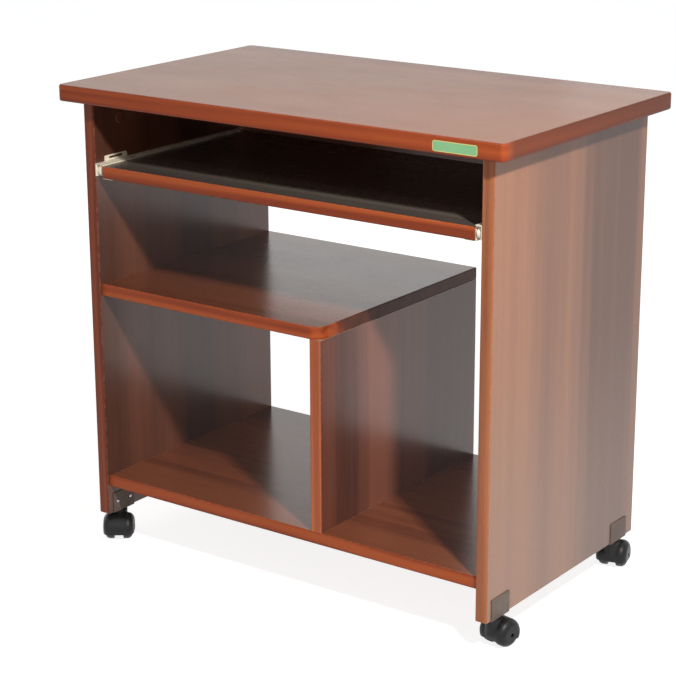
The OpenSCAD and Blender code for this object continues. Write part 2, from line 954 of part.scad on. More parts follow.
// wheel on the axle, s is -1 or 1 for the side of the hood's web
module caster_wheel(i, s) {
    color("#2b2b2b")
        at_caster(i)
            mirror([s < 0 ? 1 : 0, 0, 0])
                translate([0, caster_trail, wheel_r])
                    rotate([0, 90, 0])
                        rotate_extrude()
                            difference() {
                                intersection() {
                                    barrel_section(0);
                                    translate([0, wheel_in])
                                        square([wheel_r, wheel_out]);
                                }
                                square([axle_r + run_fit, axle_half + roll_gap]);
                                translate([0, wheel_out - hub_dish])
                                    square([hub_dish_r, hub_dish + over]);
                            }
}

// Pieces

top_panel();
top_edge();
left_side_panel();
left_side_edge();
right_side_panel();
right_side_edge();
back_rail();
middle_shelf();
middle_shelf_edge();
divider_panel();
divider_edge();
bottom_shelf();
bottom_shelf_edge();
cam_locks();
cam_bolts();
dowels();
front_label();
keyboard_tray();
tray_edge();
case_rail(-1);  // left_case_rail
case_rail(1);  // right_case_rail
tray_rail(-1);  // left_tray_rail
tray_rail(1);  // right_tray_rail
slide_roller(-1, front_roller_y, front_roller_z, 1);  // left_front_roller
slide_roller(1, front_roller_y, front_roller_z, 1);  // right_front_roller
slide_roller(-1, rear_roller_y, rear_roller_z, -1);  // left_rear_roller
slide_roller(1, rear_roller_y, rear_roller_z, -1);  // right_rear_roller
front_rivets();
rear_rivets();
case_rail_screws();
tray_rail_screws();
clip_screws();
caster_clip(0);  // front_left_clip
caster_stem(0);  // front_left_stem
caster_hood(0);  // front_left_hood
caster_axle(0);  // front_left_axle
caster_wheel(0, -1);  // front_left_wheel_a
caster_wheel(0, 1);  // front_left_wheel_b
caster_clip(1);  // front_right_clip
caster_stem(1);  // front_right_stem
caster_hood(1);  // front_right_hood
caster_axle(1);  // front_right_axle
caster_wheel(1, -1);  // front_right_wheel_a
caster_wheel(1, 1);  // front_right_wheel_b
caster_clip(2);  // back_left_clip
caster_stem(2);  // back_left_stem
caster_hood(2);  // back_left_hood
caster_axle(2);  // back_left_axle
caster_wheel(2, -1);  // back_left_wheel_a
caster_wheel(2, 1);  // back_left_wheel_b
caster_clip(3);  // back_right_clip
caster_stem(3);  // back_right_stem
caster_hood(3);  // back_right_hood
caster_axle(3);  // back_right_axle
caster_wheel(3, -1);  // back_right_wheel_a
caster_wheel(3, 1);  // back_right_wheel_b
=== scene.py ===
"""Computer desk on casters: the looks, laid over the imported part.

The sections follow the desk as it is put together: side panels, shelves and
divider, back rail, fittings, top, label, tray slides, tray, casters, then the
studio. Lengths are metres in the part's own frame, where the front faces -Y.
"""

import json
import math

import bpy
import numpy as np
from mathutils import Matrix, Vector


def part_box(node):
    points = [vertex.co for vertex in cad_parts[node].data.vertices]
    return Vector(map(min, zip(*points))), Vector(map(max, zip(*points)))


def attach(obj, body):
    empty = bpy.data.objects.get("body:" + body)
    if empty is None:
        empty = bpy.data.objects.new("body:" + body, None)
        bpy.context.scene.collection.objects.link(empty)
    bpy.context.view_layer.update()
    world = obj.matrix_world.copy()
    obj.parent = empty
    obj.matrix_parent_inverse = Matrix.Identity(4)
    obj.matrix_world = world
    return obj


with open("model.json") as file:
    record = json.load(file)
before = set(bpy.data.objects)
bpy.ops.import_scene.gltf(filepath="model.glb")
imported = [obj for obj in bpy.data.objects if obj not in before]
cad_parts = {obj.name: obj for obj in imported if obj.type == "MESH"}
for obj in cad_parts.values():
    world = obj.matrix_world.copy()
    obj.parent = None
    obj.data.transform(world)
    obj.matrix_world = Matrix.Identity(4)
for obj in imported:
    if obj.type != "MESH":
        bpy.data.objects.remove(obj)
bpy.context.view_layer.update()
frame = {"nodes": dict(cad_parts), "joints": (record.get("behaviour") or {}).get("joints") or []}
nodes = frame["nodes"]

# Side panels. Each is 19 mm chipboard with paper printed as upright cherry on
# both faces, bare where it is cut or bored, with a 2 mm plastic strip glued on
# its front. Cams and dowels join it to the shelves and the top.


def tint(red, green, blue):
    """A colour given in 0 to 255 display steps, as linear light."""
    steps = np.array([red, green, blue]) / 255
    linear = np.where(steps <= 0.04045, steps / 12.92, ((steps + 0.055) / 1.055) ** 2.4)
    return (*linear.tolist(), 1.0)


def fit(tree, kind, joins=None, **settings):
    """Fits one node into a tree: settings go on the node, and each socket in
    joins takes a plain value or another node's output."""
    node = tree.nodes.new(kind)
    for setting, value in settings.items():
        setattr(node, setting, value)
    for socket, value in (joins or {}).items():
        if isinstance(value, bpy.types.NodeSocket):
            tree.links.new(value, node.inputs[socket])
        else:
            node.inputs[socket].default_value = value
    return node


def reckon(tree, operation, *values):
    """The number that one Math node works out, such as MULTIPLY or MINIMUM."""
    node = fit(tree, "ShaderNodeMath", dict(enumerate(values)), operation=operation)
    return node.outputs[0]


def reckon_vector(tree, operation, *values):
    """The vector that one Vector Math node works out, such as SUBTRACT."""
    node = fit(tree, "ShaderNodeVectorMath", dict(enumerate(values)), operation=operation)
    return node.outputs[0]


def axes_of(tree, place):
    """The x, y and z of a vector."""
    return fit(tree, "ShaderNodeSeparateXYZ", {0: place}).outputs


def stretched(tree, place, along, across):
    """The place stretched for a grain: so many steps a metre along and across."""
    return reckon_vector(tree, "MULTIPLY", place, (along, across, across))


def cloud(tree, place, detail=2.0, rough=0.5, channel="Fac"):
    """Noise over the place, at one step a unit."""
    joins = {"Vector": place, "Scale": 1.0, "Detail": detail, "Roughness": rough}
    return fit(tree, "ShaderNodeTexNoise", joins).outputs[channel]


def ramp(tree, value, low, high, to_low=0.0, to_high=1.0):
    """Smooth step: low becomes to_low, high becomes to_high."""
    joins = {"Value": value, "From Min": low, "From Max": high, "To Min": to_low, "To Max": to_high}
    node = fit(tree, "ShaderNodeMapRange", joins, interpolation_type="SMOOTHSTEP")
    return node.outputs["Result"]


def blended(tree, share, first, second):
    """The first colour turns into the second as share goes from 0 to 1. A Mix
    node keeps its colours in sockets 6 and 7, and gives the mixed one in 2."""
    return fit(tree, "ShaderNodeMix", {0: share, 6: first, 7: second}, data_type="RGBA").outputs[2]


def depths(tree, place, low, high):
    """How deep a point lies in a box: its distance to the nearer face on each
    of the three axes."""
    from_low = reckon_vector(tree, "SUBTRACT", place, low)
    from_high = reckon_vector(tree, "SUBTRACT", high, place)
    return axes_of(tree, reckon_vector(tree, "MINIMUM", from_low, from_high))


def finish_group(name, takes, gives):
    """An empty shader group with named inputs and outputs, and its two ends."""
    tree = bpy.data.node_groups.new(name, "ShaderNodeTree")
    for label, kind, value in takes:
        socket = tree.interface.new_socket(label, in_out="INPUT", socket_type="NodeSocket" + kind)
        socket.default_value = value
    for label, kind in gives:
        tree.interface.new_socket(label, in_out="OUTPUT", socket_type="NodeSocket" + kind)
    return tree, tree.nodes.new("NodeGroupInput").outputs, tree.nodes.new("NodeGroupOutput").inputs


def made_cherry_print():
    """The printed cherry: wide soft bands, ribbons and fine fibres that all run
    along X and wander a little, with short dark pores where a ribbon is dark."""
    tree, takes, gives = finish_group(
        "cherry print",
        [
            ("Vector", "Vector", (0.0, 0.0, 0.0)),
            ("Pale", "Color", tint(176, 118, 86)),
            ("Mid", "Color", tint(146, 88, 60)),
            ("Dark", "Color", tint(104, 58, 40)),
            ("Band", "Float", 15.0),
            ("Figure", "Float", 0.2),
        ],
        [("Color", "Color"), ("Roughness", "Float"), ("Height", "Float")],
    )
    wander = 0.016
    drift = cloud(tree, stretched(tree, takes["Vector"], 1.7, 8.0), channel="Color")
    drift = reckon_vector(tree, "SUBTRACT", drift, (0.5, 0.5, 0.5))
    drift = reckon_vector(tree, "MULTIPLY", drift, (0.0, wander, wander))
    grain = reckon_vector(tree, "ADD", takes["Vector"], drift)
    spread = fit(tree, "ShaderNodeCombineXYZ", {0: 0.3, 1: takes["Band"], 2: takes["Band"]})
    wide = reckon_vector(tree, "MULTIPLY", grain, spread.outputs[0])
    bands = ramp(tree, cloud(tree, wide, 1.0, 0.4), 0.36, 0.64)
    ribbons = ramp(tree, cloud(tree, stretched(tree, grain, 1.2, 70.0), 3.0), 0.3, 0.7)
    fibres = cloud(tree, stretched(tree, grain, 11.0, 620.0), 2.0)
    pores = ramp(tree, cloud(tree, stretched(tree, grain, 48.0, 1500.0), 1.0), 0.6, 0.72)
    pores = reckon(tree, "MULTIPLY", pores, ramp(tree, ribbons, 0.75, 0.25, 0.05, 0.3))
    band_share, fibre_share = 0.68, 0.12
    tone = reckon(tree, "MULTIPLY", bands, band_share)
    tone = reckon(tree, "MULTIPLY_ADD", ribbons, takes["Figure"], tone)
    tone = reckon(tree, "MULTIPLY_ADD", fibres, fibre_share, tone)
    wood = blended(tree, ramp(tree, tone, 0.1, 0.5), takes["Dark"], takes["Mid"])
    wood = blended(tree, ramp(tree, tone, 0.45, 0.92), wood, takes["Pale"])
    wood = blended(tree, pores, wood, tint(74, 38, 26))
    tree.links.new(wood, gives["Color"])
    matt = reckon(tree, "MULTIPLY_ADD", pores, 0.15, 0.19)
    matt = reckon(tree, "MULTIPLY_ADD", fibres, 0.06, matt)
    tree.links.new(matt, gives["Roughness"])
    tree.links.new(reckon(tree, "MULTIPLY_ADD", pores, -0.8, fibres), gives["Height"])
    return tree


def made_rubbed_edge():
    """How near a point is to an arris of its board: the middle one of its three
    distances to the board's faces, with a ragged limit."""
    tree, takes, gives = finish_group(
        "rubbed edge",
        [
            ("Vector", "Vector", (0.0, 0.0, 0.0)),
            ("Low", "Vector", (0.0, 0.0, 0.0)),
            ("High", "Vector", (0.0, 0.0, 0.0)),
            ("Width", "Float", 0.0012),
        ],
        [("Mask", "Float")],
    )
    x, y, z = depths(tree, takes["Vector"], takes["Low"], takes["High"])
    nearer, farther = reckon(tree, "MINIMUM", x, y), reckon(tree, "MAXIMUM", x, y)
    middle = reckon(tree, "MAXIMUM", nearer, reckon(tree, "MINIMUM", z, farther))
    ragged = cloud(tree, stretched(tree, takes["Vector"], 150.0, 150.0), 3.0)
    limit = reckon(tree, "MULTIPLY", takes["Width"], ramp(tree, ragged, 0.35, 0.7, 0.1, 1.5))
    share = reckon(tree, "SUBTRACT", 1.0, reckon(tree, "DIVIDE", middle, limit))
    tree.links.new(ramp(tree, share, 0.0, 0.7), gives["Mask"])
    return tree


def made_handling():
    """Marks of use: soft smears from hands, and thin dust that settles on
    faces that look up."""
    tree, takes, gives = finish_group(
        "handling",
        [("Vector", "Vector", (0.0, 0.0, 0.0))],
        [("Smear", "Float"), ("Dust", "Float")],
    )
    smear = cloud(tree, stretched(tree, takes["Vector"], 9.0, 14.0), 3.0, 0.6)
    tree.links.new(ramp(tree, smear, 0.35, 0.7), gives["Smear"])
    facing = axes_of(tree, fit(tree, "ShaderNodeNewGeometry").outputs["Normal"])
    specks = cloud(tree, stretched(tree, takes["Vector"], 260.0, 260.0), 4.0, 0.7)
    dust = reckon(tree, "MULTIPLY", ramp(tree, facing[2], 0.2, 1.0), ramp(tree, specks, 0.4, 0.8))
    tree.links.new(dust, gives["Dust"])
    return tree


def made_bare_chipboard():
    """The core of a board, bare wherever a face isn't square to the thin axis
    Across: cut edges and bores, with pressed chips 2 to 3 mm long."""
    tree, takes, gives = finish_group(
        "bare chipboard",
        [("Vector", "Vector", (0.0, 0.0, 0.0)), ("Across", "Vector", (0.0, 0.0, 1.0))],
        [("Mask", "Float"), ("Color", "Color"), ("Height", "Float")],
    )
    chips_a_metre, more_across = 360.0, 260.0
    pressed = reckon_vector(tree, "MULTIPLY", takes["Across"], (more_across,) * 3)
    spread = reckon_vector(tree, "ADD", pressed, (chips_a_metre,) * 3)
    squeezed = reckon_vector(tree, "MULTIPLY", takes["Vector"], spread)
    chips = fit(tree, "ShaderNodeTexVoronoi", {"Vector": squeezed, "Scale": 1.0}).outputs
    shade = axes_of(tree, chips["Color"])[0]
    wood = blended(tree, shade, tint(166, 118, 80), tint(218, 180, 138))
    gaps = ramp(tree, chips["Distance"], 0.4, 0.8)
    wood = blended(tree, reckon(tree, "MULTIPLY", gaps, 0.55), wood, tint(100, 66, 46))
    tree.links.new(wood, gives["Color"])
    tree.links.new(reckon(tree, "SUBTRACT", shade, gaps), gives["Height"])
    joins = {0: fit(tree, "ShaderNodeNewGeometry").outputs["Normal"], 1: takes["Across"]}
    square = fit(tree, "ShaderNodeVectorMath", joins, operation="DOT_PRODUCT")
    square = reckon(tree, "ABSOLUTE", square.outputs["Value"])
    tree.links.new(ramp(tree, square, 0.6, 0.9, 1.0, 0.0), gives["Mask"])
    return tree


cherry_print = made_cherry_print()
rubbed_edge = made_rubbed_edge()
handling = made_handling()
bare_chipboard = made_bare_chipboard()
laid = {"X": (0.0, 0.0, 0.0), "Z": (0.0, math.pi / 2, 0.0)}
upright, level, on_edge = (1.0, 0.0, 0.0), (0.0, 0.0, 1.0), (0.0, 1.0, 0.0)


def emptied(owner):
    """The node tree of a material or of the world, with nothing in it yet."""
    owner.use_nodes = True
    owner.node_tree.nodes.clear()
    return owner.node_tree


def new_finish(name):
    """An empty material with its shader and its Object coordinates."""
    finish = bpy.data.materials.new(name)
    tree = emptied(finish)
    shader = fit(tree, "ShaderNodeBsdfPrincipled")
    end = fit(tree, "ShaderNodeOutputMaterial")
    tree.links.new(shader.outputs["BSDF"], end.inputs["Surface"])
    place = fit(tree, "ShaderNodeTexCoord").outputs["Object"]
    return finish, tree, shader, place


def use(tree, group, **joins):
    """Places a shader group in a material with its own values."""
    return fit(tree, "ShaderNodeGroup", joins, node_tree=group)


def roughen(tree, shader, height, relief):
    """Turns a height pattern into small bumps, relief metres high."""
    bump = fit(tree, "ShaderNodeBump", {"Height": height, "Strength": 1.0, "Distance": relief})
    tree.links.new(bump.outputs[0], shader.inputs["Normal"])


def printed(
    name,
    node,
    grain,
    start,
    colors,
    band=9.0,
    figure=0.14,
    dulled=0.0,
    rub=0.0012,
    relief=0.00003,
    mirror=0.5,
    across=None,
):
    """The finish of one board, one strip or the dowels, in a pale, a middle and
    a dark colour. grain is the axis that it runs along, and start shifts it, so
    no two match. A board names its thin axis in across, and its cut edges show
    the bare core."""
    finish, tree, shader, place = new_finish(name)
    shift = (start, start * 0.7, start * 1.3)
    joins = {"Vector": place, "Location": shift, "Rotation": laid[grain]}
    turned = fit(tree, "ShaderNodeMapping", joins)
    shades = dict(zip(("Pale", "Mid", "Dark"), colors))
    sizes = {"Band": band, "Figure": figure}
    wood = use(tree, cherry_print, Vector=turned.outputs[0], **sizes, **shades).outputs
    low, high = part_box(node)
    rubbed = use(tree, rubbed_edge, Vector=place, Low=low, High=high, Width=rub).outputs["Mask"]
    marks = use(tree, handling, Vector=place).outputs
    worn = blended(tree, reckon(tree, "MULTIPLY", rubbed, 0.15), wood["Color"], tint(196, 150, 116))
    dusty = blended(tree, reckon(tree, "MULTIPLY", marks["Dust"], 0.05), worn, tint(190, 182, 172))
    matt = reckon(tree, "ADD", wood["Roughness"], dulled)
    matt = reckon(tree, "MULTIPLY_ADD", marks["Smear"], 0.03, matt)
    matt = reckon(tree, "MULTIPLY_ADD", rubbed, 0.15, matt)
    height = wood["Height"]
    if across:
        core = use(tree, bare_chipboard, Vector=place, Across=across).outputs
        dusty = blended(tree, core["Mask"], dusty, core["Color"])
        matt = reckon(tree, "MULTIPLY_ADD", core["Mask"], 0.5, matt)
        chips = reckon(tree, "MULTIPLY", core["Height"], 5.0)
        height = reckon(tree, "MULTIPLY_ADD", core["Mask"], chips, height)
    tree.links.new(dusty, shader.inputs["Base Color"])
    tree.links.new(matt, shader.inputs["Roughness"])
    roughen(tree, shader, height, relief)
    shader.inputs["Specular IOR Level"].default_value = mirror
    return finish


def finished(node, finish):
    """Puts a finish on every material slot of a CAD node."""
    mesh = nodes[node].data
    mesh.materials.clear()
    mesh.materials.append(finish)


def edging(node, grain, start, colors, rub=0.0012):
    """The plastic strip on one edge: the same print in finer bands, duller all
    over than a board and with a weaker mirror."""
    name = node.replace("_", " ") + " print"
    looks = {"band": 60.0, "figure": 0.2, "dulled": 0.15, "mirror": 0.2}
    return printed(name, node, grain, start, colors, rub=rub, **looks)


def first_node(tree, kind):
    """The first node of a kind in a finish that is made already."""
    return next(node for node in tree.nodes if node.bl_idname == kind)


def reopened(finish):
    """A finish that is made already: its tree, shader, Object coordinates and
    colour, so that more can be laid over the colour."""
    tree = finish.node_tree
    shader = first_node(tree, "ShaderNodeBsdfPrincipled")
    place = first_node(tree, "ShaderNodeTexCoord").outputs["Object"]
    color = shader.inputs["Base Color"].links[0].from_socket
    return tree, shader, place, color


def painted_floor_sheen(board, finish):
    """The outer face of a side panel with a painted sheen of the pale floor: its
    print turns paler and greyer towards the floor."""
    tree, shader, place, cherry = reopened(finish)
    low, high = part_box(board)
    x, _, z = axes_of(tree, place)
    inner, outer = sorted((abs(low.x), abs(high.x)))
    outside = ramp(tree, reckon(tree, "ABSOLUTE", x), inner, outer)
    # Painted sheen of the pale floor on the outer face, from nothing at 0.45 m to full at 0.12 m.
    sheen_starts, sheen_full = 0.45, 0.12
    floor_sheen = ramp(tree, z, sheen_starts, sheen_full, 0.0, 0.3)
    floor_sheen = reckon(tree, "MULTIPLY", floor_sheen, outside)
    tree.links.new(blended(tree, floor_sheen, cherry, tint(150, 128, 118)), shader.inputs["Base Color"])
    return finish


# The two side panels are one laminate in a lit and a shaded copy: the right panel's print and
# edging are lighter, painted light, and the left panel's are darker, painted shade.
sunlit_cherry = tint(160, 111, 84), tint(134, 94, 76), tint(102, 71, 59)
shaded_panel_cherry = tint(132, 82, 59), tint(107, 65, 48), tint(82, 50, 39)
sunlit_edging = tint(176, 111, 76), tint(160, 97, 65), tint(138, 80, 54)
edge_cherry = tint(170, 81, 40), tint(152, 67, 31), tint(126, 52, 25)
shaded_edging = tint(146, 74, 46), tint(126, 60, 36), tint(104, 46, 28)

for side, start, colors, strip_colors, mirror in (
    ("left", 3.1, shaded_panel_cherry, shaded_edging, 0.6),
    ("right", 23.84, sunlit_cherry, sunlit_edging, 0.5),
):
    board = f"{side}_side_panel"
    name = f"{side} panel cherry"
    wood = printed(name, board, "Z", start, colors, band=7.0, across=upright, mirror=mirror)
    finished(board, painted_floor_sheen(board, wood))
    strip = f"{side}_side_edge"
    finished(strip, edging(strip, "Z", start + 0.8, strip_colors))

# Bottom shelf, divider and middle shelf. The bottom shelf ties the two sides,
# the divider stands on it, and the middle shelf lies on the divider with one
# rounded free corner. Same board and print, grain lengthwise, edged in front.

# The shelves take darker copies of the same cherry, the middle shelf the darkest: painted shade of
# the bays.
shaded_shelf_cherry = tint(128, 70, 43), tint(106, 54, 32), tint(76, 38, 26)
shaded_upper_cherry = tint(117, 63, 39), tint(97, 49, 29), tint(70, 34, 24)
divider_cherry = tint(134, 82, 64), tint(112, 66, 53), tint(86, 51, 43)
divider_edging = tint(211, 119, 78), tint(193, 105, 67), tint(164, 87, 55)

for board, grain, start, colors, across, figure, mirror in (
    ("bottom_shelf", "X", 1.3, shaded_shelf_cherry, level, 0.36, 0.46),
    ("divider_panel", "Z", 5.2, divider_cherry, upright, 0.24, 0.62),
    ("middle_shelf", "X", 9.6, shaded_upper_cherry, level, 0.36, 0.5),
):
    name = board.replace("_", " ") + " cherry"
    wood = printed(name, board, grain, start, colors, across=across, figure=figure, mirror=mirror)
    finished(board, wood)


def shelf_strip():
    """The middle shelf's edging goes round its free corner, and on the end
    that is left in the shade of the top it turns dark with a painted shadow."""
    finish = edging("middle_shelf_edge", "X", 8.8, edge_cherry)
    tree, shader, place, cherry = reopened(finish)
    low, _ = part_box("middle_shelf_edge")
    # Painted shadow of the top on the strip's end, from 34 mm to 70 mm behind its front.
    shade_starts, shade_full = low.y + 0.034, low.y + 0.07
    shadow_share = ramp(tree, axes_of(tree, place)[1], shade_starts, shade_full)
    shadowed_cherry = blended(tree, 0.78, cherry, tint(44, 32, 30))
    tree.links.new(blended(tree, shadow_share, cherry, shadowed_cherry), shader.inputs["Base Color"])
    return finish


finished("bottom_shelf_edge", edging("bottom_shelf_edge", "X", 2.6, edge_cherry))
finished("divider_edge", edging("divider_edge", "Z", 6.3, divider_edging))
finished("middle_shelf_edge", shelf_strip())

# Back rail. One more board of the same cherry, on edge under the top between
# the sides. It keeps the desk square and closes the tray's space behind.

# The back rail takes the bottom shelf's darker copy of the cherry, painted shade of the tray's
# space.
wood = printed("back rail cherry", "back_rail", "X", 12.4, shaded_shelf_cherry, across=on_edge)
finished("back_rail", wood)

# Fittings. Grooved beech dowels place the boards, and a steel bolt in one
# board is pulled up by a cast zinc cam turned in the other, whose bore is then
# closed with a pressed-on plastic cover.


def dimmed(color, share):
    """A colour that gives back only a share of its light."""
    return (*(light * share for light in color[:3]), 1.0)


def metal(name, color, rough, turning=(400.0, 400.0, 400.0), relief=0.00002):
    """Bare or plated metal: cloudy plating, small dull pits, and fine tool
    marks, of which turning gives the steps a metre on each axis."""
    finish, tree, shader, place = new_finish(name)
    clouds = cloud(tree, stretched(tree, place, 300.0, 300.0), 3.0)
    marks = cloud(tree, reckon_vector(tree, "MULTIPLY", place, turning), 3.0, 0.6)
    pits = ramp(tree, cloud(tree, stretched(tree, place, 1400.0, 1400.0), 2.0), 0.62, 0.75)
    base = blended(tree, ramp(tree, clouds, 0.3, 0.75), color, dimmed(color, 0.75))
    base = blended(tree, reckon(tree, "MULTIPLY", pits, 0.25), base, dimmed(color, 0.45))
    tree.links.new(base, shader.inputs["Base Color"])
    shader.inputs["Metallic"].default_value = 1.0
    matt = reckon(tree, "MULTIPLY_ADD", marks, 0.12, rough - 0.14)
    matt = reckon(tree, "MULTIPLY_ADD", clouds, 0.16, matt)
    tree.links.new(reckon(tree, "MULTIPLY_ADD", pits, 0.2, matt), shader.inputs["Roughness"])
    roughen(tree, shader, reckon(tree, "MULTIPLY_ADD", pits, -0.7, marks), relief)
    return finish


def moulded(name, color, rough, fleck, dust, through=0.0, mirror=0.5):
    """Moulded plastic: fine spark grain, slightly uneven colour, dust on what
    faces up, and some light through it if it is thin nylon."""
    finish, tree, shader, place = new_finish(name)
    marks = use(tree, handling, Vector=place).outputs
    clouds = cloud(tree, stretched(tree, place, 90.0, 90.0), 3.0)
    spark_grain, relief = 2600.0, 0.00003
    pebble = cloud(tree, stretched(tree, place, spark_grain, spark_grain), 1.0)
    paler = (*(min(1.0, light * (1 + 4 * fleck) + 0.03 * fleck) for light in color[:3]), 1.0)
    base = blended(tree, ramp(tree, clouds, 0.35, 0.75), color, paler)
    base = blended(tree, reckon(tree, "MULTIPLY", marks["Dust"], dust), base, tint(168, 162, 152))
    tree.links.new(base, shader.inputs["Base Color"])
    matt = reckon(tree, "MULTIPLY_ADD", marks["Smear"], 0.1, rough - 0.1)
    tree.links.new(reckon(tree, "MULTIPLY_ADD", pebble, 0.12, matt), shader.inputs["Roughness"])
    shader.inputs["Specular IOR Level"].default_value = mirror
    shader.inputs["Subsurface Weight"].default_value = through
    shader.inputs["Subsurface Radius"].default_value = (0.004, 0.003, 0.002)
    shader.inputs["Subsurface Scale"].default_value = 1.0
    roughen(tree, shader, pebble, relief)
    return finish


def single_cams():
    """The lowest and highest corner of each cam. One CAD node holds them all,
    and two points of the same cam are always nearer than cam_reach."""
    locks = nodes["cam_locks"].data.vertices
    points = np.empty(3 * len(locks))
    locks.foreach_get("co", points)
    points = points.reshape(-1, 3)
    cam_reach = 0.027
    single = []
    while len(points):
        same = np.linalg.norm(points - points[0], axis=1) < cam_reach
        single.append((points[same].min(axis=0), points[same].max(axis=0)))
        points = points[~same]
    return single


def open_bores(board, cams):
    """The cam bores of one board: the middle of each at the face where it comes
    out, and the axis and side that this face looks to."""
    faces = np.array([list(corner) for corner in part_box(board)])
    bores = []
    for low, high in cams:
        middle = (low + high) / 2
        if (faces[0] < middle).all() and (middle < faces[1]).all():
            gaps = np.abs(np.array([low, high]) - faces)
            side, axis = np.unravel_index(gaps.argmin(), gaps.shape)
            middle[axis] = faces[side, axis]
            bores.append((middle.tolist(), axis, 2 * side - 1))
    return sorted(bores)


def placed(name, data):
    """A new object in the scene, made from a mesh, a lamp or a camera."""
    thing = bpy.data.objects.new(name, data)
    bpy.context.scene.collection.objects.link(thing)
    return thing


def cam_cover(name, middle, axis, side):
    """A crowned disc, closed behind. On a grid of turn by share, the share of
    the radius that a ring has, its height is crown * sqrt(1 - share^6): nearly
    flat, then round at the rim. The last ring lies in the board's face and has
    shrunk back to the middle, and so closes the disc."""
    radius, crown, steps = 0.009, 0.0012, 48
    share = np.array([0.02, 0.25, 0.5, 0.7, 0.84, 0.93, 0.98, 1.0, 0.02])
    rise = crown * np.sqrt(1 - share**6)
    rise[-1] = 0.0
    turn = np.arange(steps) * 2 * np.pi / steps
    grid = np.empty((len(share), steps, 3))
    grid[:, :, axis] = rise[:, None] * side
    grid[:, :, axis - 2] = radius * share[:, None] * np.cos(turn)
    grid[:, :, axis - 1] = radius * share[:, None] * np.sin(turn) * side
    corners = (grid + middle).reshape(-1, 3)
    ring, step = np.divmod(np.arange((len(share) - 1) * steps), steps)
    after = (step + 1) % steps
    inner, outer = ring * steps, (ring + 1) * steps
    walls = np.stack([inner + step, outer + step, outer + after, inner + after], axis=1)
    front = np.arange(steps)
    back = np.arange(len(corners) - steps, len(corners))[::-1]
    mesh = bpy.data.meshes.new(name)
    mesh.from_pydata(corners.tolist(), [], [*walls.tolist(), front.tolist(), back.tolist()])
    # Behind, the middle and the walls of the closing ring but one are flat.
    smooth = np.ones(len(mesh.polygons), dtype=bool)
    smooth[-1 - steps :] = False
    smooth[-2] = True
    mesh.polygons.foreach_set("use_smooth", smooth)
    disc = placed(name, mesh)
    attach(disc, "desk")
    return disc


beech = tint(222, 190, 148), tint(205, 168, 124), tint(176, 138, 98)
grooves = {"band": 120.0, "figure": 0.3, "dulled": 0.35, "relief": 0.00008}
finished("dowels", printed("beech dowel", "dowels", "X", 0.4, beech, **grooves))
round_bolt = (60.0, 1800.0, 1800.0)
yellow_bolt = metal("yellow passivated bolt", tint(205, 188, 140), rough=0.34, turning=round_bolt)
finished("cam_bolts", yellow_bolt)
cast_cam = metal("cast zinc cam", tint(176, 176, 178), rough=0.46, relief=0.00006)
finished("cam_locks", cast_cam)

brown = tint(104, 58, 38)
cover_brown = moulded("brown cover plastic", brown, rough=0.4, fleck=0.05, dust=0.05, mirror=0.35)
cams = single_cams()
side_panels = ("left_side_panel", "right_side_panel")
joined_by_cams = (*side_panels, "back_rail", "middle_shelf", "divider_panel", "bottom_shelf")
for board in joined_by_cams:
    for count, (middle, axis, side) in enumerate(open_bores(board, cams), 1):
        cover = cam_cover(f"{board}_cam_cover_{count}", middle, axis, side)
        cover.data.materials.append(cover_brown)

# Top. A 25 mm board laid over the sides, which it passes at both ends, with a
# thick plastic strip glued round its whole edge and its four rounded corners.

top_cherry = tint(151, 94, 60), tint(141, 86, 53), tint(128, 75, 48)
looks = {"band": 7.0, "figure": 0.08, "mirror": 0.06}
wood = printed("top cherry", "top_panel", "X", 4.7, top_cherry, across=level, **looks)
finished("top_panel", wood)


def round_strip():
    """The top's edging: the print runs along the strip whichever way it goes,
    so its length is x + y and its width is z. Painted shade darkens it past
    the front corners and towards the back."""
    finish = edging("top_edge", "X", 5.9, edge_cherry, rub=0.0016)
    tree, shader, place, cherry = reopened(finish)
    x, y, z = axes_of(tree, place)
    around = fit(tree, "ShaderNodeCombineXYZ", {0: reckon(tree, "ADD", x, y), 1: z, 2: 0.0})
    tree.links.new(around.outputs[0], first_node(tree, "ShaderNodeMapping").inputs["Vector"])
    low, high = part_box("top_edge")
    # Painted shade: past the front corners the strip darkens, and a little more towards the back.
    corner_starts, corner_ends = low.y + 0.004, low.y + 0.03
    past_corner = ramp(tree, y, corner_starts, corner_ends, 0.0, 0.72)
    shade_share = reckon(tree, "ADD", past_corner, ramp(tree, y, low.y, high.y, 0.0, 0.2))
    deeper = blended(tree, 0.85, cherry, tint(74, 34, 14))
    tree.links.new(blended(tree, shade_share, cherry, deeper), shader.inputs["Base Color"])
    return finish


finished("top_edge", round_strip())

# Label. A small plain vinyl sticker, pressed on the front of the top: mid green
# with a paler yellow border, slightly mottled.


def sticker():
    """Green vinyl with a border of one width on all sides, fine pale scuffs,
    and the soft waves of a label pressed on by hand."""
    finish, tree, shader, place = new_finish("green sticker")
    x, _, z = depths(tree, place, *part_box("front_label"))
    border_width, soft = 0.0011, 0.0002
    inwards = reckon(tree, "MINIMUM", x, z)
    border = ramp(tree, inwards, border_width + soft, border_width - soft)
    mottle = cloud(tree, stretched(tree, place, 24.0, 24.0), 1.0)
    uneven = ramp(tree, mottle, 0.3, 0.7)
    green = blended(tree, uneven, tint(112, 171, 119), tint(127, 181, 132))
    base = blended(tree, border, green, tint(206, 202, 128))
    scuffs = ramp(tree, cloud(tree, stretched(tree, place, 1600.0, 1600.0), 3.0, 0.7), 0.62, 0.75)
    base = blended(tree, reckon(tree, "MULTIPLY", scuffs, 0.12), base, tint(214, 218, 196))
    tree.links.new(base, shader.inputs["Base Color"])
    tree.links.new(reckon(tree, "MULTIPLY_ADD", scuffs, 0.12, 0.34), shader.inputs["Roughness"])
    roughen(tree, shader, mottle, 0.0001)
    return finish


finished("front_label", sticker())

# Tray slides. Each side has a rolled steel rail on the panel and one on the
# tray, stoved in cream enamel, that run on riveted nylon rollers: one at the
# front of the panel's rail and one at the back of the tray's.


